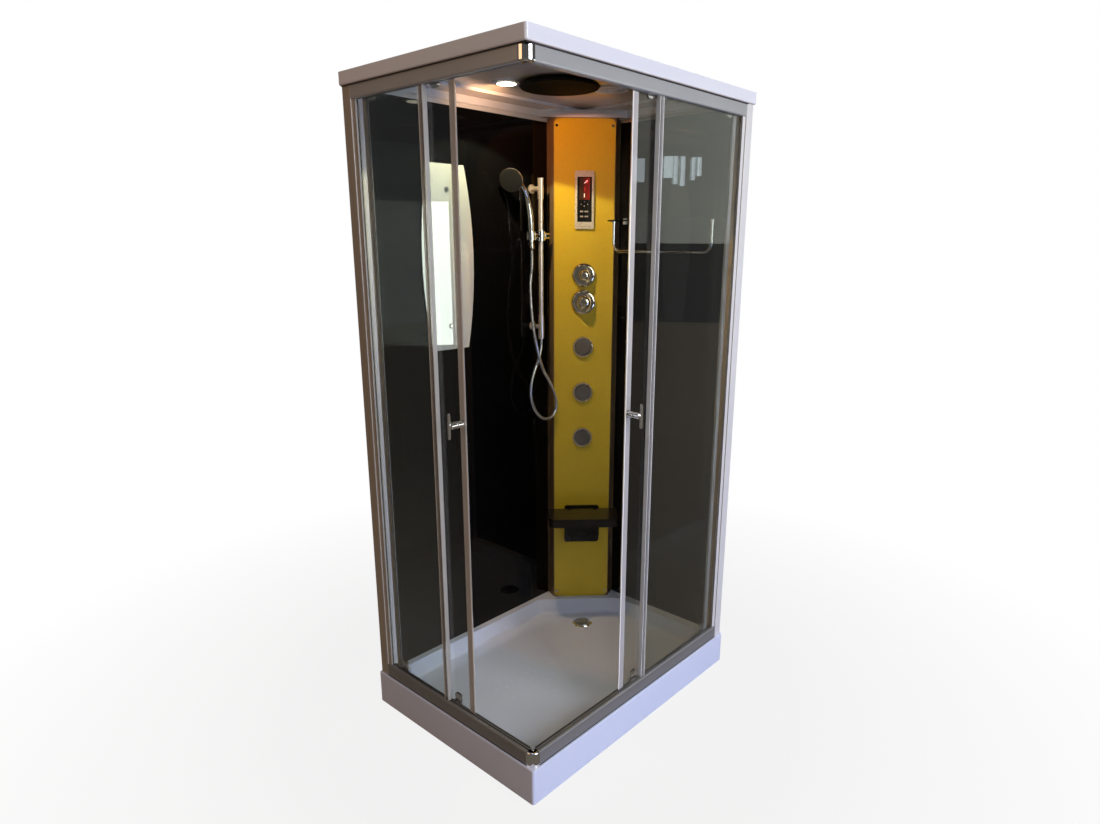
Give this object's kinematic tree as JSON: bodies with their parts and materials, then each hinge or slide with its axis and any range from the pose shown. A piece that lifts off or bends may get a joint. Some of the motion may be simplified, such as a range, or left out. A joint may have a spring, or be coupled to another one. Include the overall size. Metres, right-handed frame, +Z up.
{
  "type": "hydromassage shower cabin",
  "caption": "Rectangular corner-entry shower cabin with tray, roof, sliding glass doors, black walls and a column with mixer, body jets, hand shower and folding seat.",
  "frame": {"origin": "underside of the centre levelling foot, on the floor at the middle of the tray's plan", "axes": "+Z up; +X and -Y are the outward sides with the sliding doors; the column stands in the corner at -X, +Y"},
  "size_m": [0.8315, 1.1315, 2.206],
  "materials": {
    "white_acrylic": "glossy",
    "zinc_steel": "galvanised",
    "black_plastic": "matte",
    "chrome": "polished",
    "chromed_plastic": "chromed",
    "satin_aluminium": "satin",
    "smoked_glass": "clear, slightly smoked",
    "black_glass": "back-painted",
    "silver_mirror": "polished",
    "shelf_clear": "clear",
    "bronze_sheet": "satin",
    "gold_sheet": "satin metallic",
    "panel_bezel": "satin silver",
    "black_screen": "glossy",
    "brass_body": "cast",
    "grey_rubber": "matte",
    "steel_pipe": "braided",
    "seat_black": "glossy",
    "dark_plate": "satin",
    "stop_rubber": "matte",
    "white_plastic": "glossy"
  },
  "bodies": {
    "cabin": {"tray_shell": "white_acrylic", "tray_frame": "zinc_steel", "levelling_feet": "zinc_steel", "drain_trap": "chromed_plastic", "bottom_rails": "satin_aluminium", "top_rails": "satin_aluminium", "corner_caps": "chrome", "wall_posts": "satin_aluminium", "fixed_glass": "smoked_glass", "fixed_edge_profiles": "satin_aluminium", "wall_panels": "black_glass", "wall_trims": "satin_aluminium", "mirror_glass": "silver_mirror", "glass_clips": "chrome", "shelf_glass": "shelf_clear", "towel_bar": "chrome", "slide_bar": "chrome", "shower_hose": "steel_pipe", "column_shell": "bronze_sheet", "column_face": "gold_sheet", "panel_screws": "chrome", "control_panel": "panel_bezel", "control_screen": "black_screen", "valve_body": "brass_body", "column_rosettes": "chrome", "jet_faces": "grey_rubber", "water_pipes": "steel_pipe", "seat_bracket": "black_plastic", "roof_shell": "white_acrylic", "roof_frame": "satin_aluminium", "rain_head": "dark_plate", "ceiling_light": "white_plastic", "fan_housing": "white_plastic", "power_box": "dark_plate", "door_stops": "stop_rubber"},
    "drain_cover": {"drain_cover": "chrome"},
    "slider": {"slider": "chromed_plastic"},
    "holder": {"handset_holder": "chromed_plastic"},
    "handset": {"hand_shower": "chromed_plastic"},
    "mixer_knob": {"mixer_knob": "chrome"},
    "diverter_knob": {"diverter_knob": "chrome"},
    "seat": {"seat_pan": "seat_black"},
    "fan_wheel": {"fan_wheel": "dark_plate"},
    "front_door": {"door_glass_front": "smoked_glass", "door_profiles_front": "satin_aluminium", "door_handle_front": "chrome", "door_hangers_front": "chromed_plastic"},
    "wheel_top_lead_front": {"wheel_top_lead_front": "white_plastic"},
    "wheel_bottom_lead_front": {"wheel_bottom_lead_front": "white_plastic"},
    "wheel_top_tail_front": {"wheel_top_tail_front": "white_plastic"},
    "wheel_bottom_tail_front": {"wheel_bottom_tail_front": "white_plastic"},
    "side_door": {"door_glass_side": "smoked_glass", "door_profiles_side": "satin_aluminium", "door_handle_side": "chrome", "door_hangers_side": "chromed_plastic"},
    "wheel_top_lead_side": {"wheel_top_lead_side": "white_plastic"},
    "wheel_bottom_lead_side": {"wheel_bottom_lead_side": "white_plastic"},
    "wheel_top_tail_side": {"wheel_top_tail_side": "white_plastic"},
    "wheel_bottom_tail_side": {"wheel_bottom_tail_side": "white_plastic"}
  },
  "joints": [
    {"name": "front_door_slide", "type": "slide", "parent": "cabin", "child": "front_door", "axis": [1, 0, 0], "range_m": [0, 0.262]},
    {"name": "wheel_top_lead_front_spin", "type": "hinge", "parent": "front_door", "child": "wheel_top_lead_front", "pos_m": [0.021, -0.506, 2.0983], "axis": [0, 1, 0], "continuous": true},
    {"name": "wheel_bottom_lead_front_spin", "type": "hinge", "parent": "front_door", "child": "wheel_bottom_lead_front", "pos_m": [0.021, -0.506, 0.1653], "axis": [0, 1, 0], "continuous": true},
    {"name": "wheel_top_tail_front_spin", "type": "hinge", "parent": "front_door", "child": "wheel_top_tail_front", "pos_m": [-0.272, -0.506, 2.0983], "axis": [0, 1, 0], "continuous": true},
    {"name": "wheel_bottom_tail_front_spin", "type": "hinge", "parent": "front_door", "child": "wheel_bottom_tail_front", "pos_m": [-0.272, -0.506, 0.1653], "axis": [0, 1, 0], "continuous": true},
    {"name": "side_door_slide", "type": "slide", "parent": "cabin", "child": "side_door", "axis": [0, -1, 0], "range_m": [0, 0.418]},
    {"name": "wheel_top_lead_side_spin", "type": "hinge", "parent": "side_door", "child": "wheel_top_lead_side", "pos_m": [0.356, -0.015, 2.0983], "axis": [1, 0, 0], "continuous": true},
    {"name": "wheel_bottom_lead_side_spin", "type": "hinge", "parent": "side_door", "child": "wheel_bottom_lead_side", "pos_m": [0.356, -0.015, 0.1653], "axis": [1, 0, 0], "continuous": true},
    {"name": "wheel_top_tail_side_spin", "type": "hinge", "parent": "side_door", "child": "wheel_top_tail_side", "pos_m": [0.356, 0.422, 2.0983], "axis": [1, 0, 0], "continuous": true},
    {"name": "wheel_bottom_tail_side_spin", "type": "hinge", "parent": "side_door", "child": "wheel_bottom_tail_side", "pos_m": [0.356, 0.422, 0.1653], "axis": [1, 0, 0], "continuous": true},
    {"name": "slider_slide", "type": "slide", "parent": "cabin", "child": "slider", "axis": [0, 0, 1], "range_m": [-0.289, 0.117], "deforming": ["shower_hose"]},
    {"name": "holder_tilt", "type": "hinge", "parent": "slider", "child": "holder", "pos_m": [-0.328, 0.196, 1.684], "axis": [0, 1, 0], "range_deg": [0, 35]},
    {"name": "handset_lift", "type": "slide", "parent": "holder", "child": "handset", "axis": [0, -0.0523, 0.9986], "range_m": [0, 0.15]},
    {"name": "mixer_turn", "type": "hinge", "parent": "cabin", "child": "mixer_knob", "pos_m": [-0.22156, 0.38656, 1.427], "axis": [0.7071, -0.7071, 0], "range_deg": [0, 90]},
    {"name": "diverter_turn", "type": "hinge", "parent": "cabin", "child": "diverter_knob", "pos_m": [-0.22156, 0.38656, 1.534], "axis": [0.7071, -0.7071, 0], "range_deg": [-90, 90]},
    {"name": "seat_fold", "type": "hinge", "parent": "cabin", "child": "seat", "pos_m": [-0.21873, 0.38373, 0.531], "axis": [-0.7071, -0.7071, 0], "range_deg": [0, 90]},
    {"name": "fan_spin", "type": "hinge", "parent": "cabin", "child": "fan_wheel", "pos_m": [0.042, 0.208, 2.18], "axis": [0, 0, 1], "continuous": true},
    {"name": "drain_cover_lift", "type": "slide", "parent": "cabin", "child": "drain_cover", "axis": [0, 0, 1], "range_m": [0, 0.05]}
  ],
  "couplings": [
    {"joint": "wheel_top_lead_front_spin", "follows": "front_door_slide", "rad_per_m": 111.11},
    {"joint": "wheel_bottom_lead_front_spin", "follows": "front_door_slide", "rad_per_m": 111.11},
    {"joint": "wheel_top_tail_front_spin", "follows": "front_door_slide", "rad_per_m": 111.11},
    {"joint": "wheel_bottom_tail_front_spin", "follows": "front_door_slide", "rad_per_m": 111.11},
    {"joint": "wheel_top_lead_side_spin", "follows": "side_door_slide", "rad_per_m": 111.11},
    {"joint": "wheel_bottom_lead_side_spin", "follows": "side_door_slide", "rad_per_m": 111.11},
    {"joint": "wheel_top_tail_side_spin", "follows": "side_door_slide", "rad_per_m": 111.11},
    {"joint": "wheel_bottom_tail_side_spin", "follows": "side_door_slide", "rad_per_m": 111.11}
  ]
}
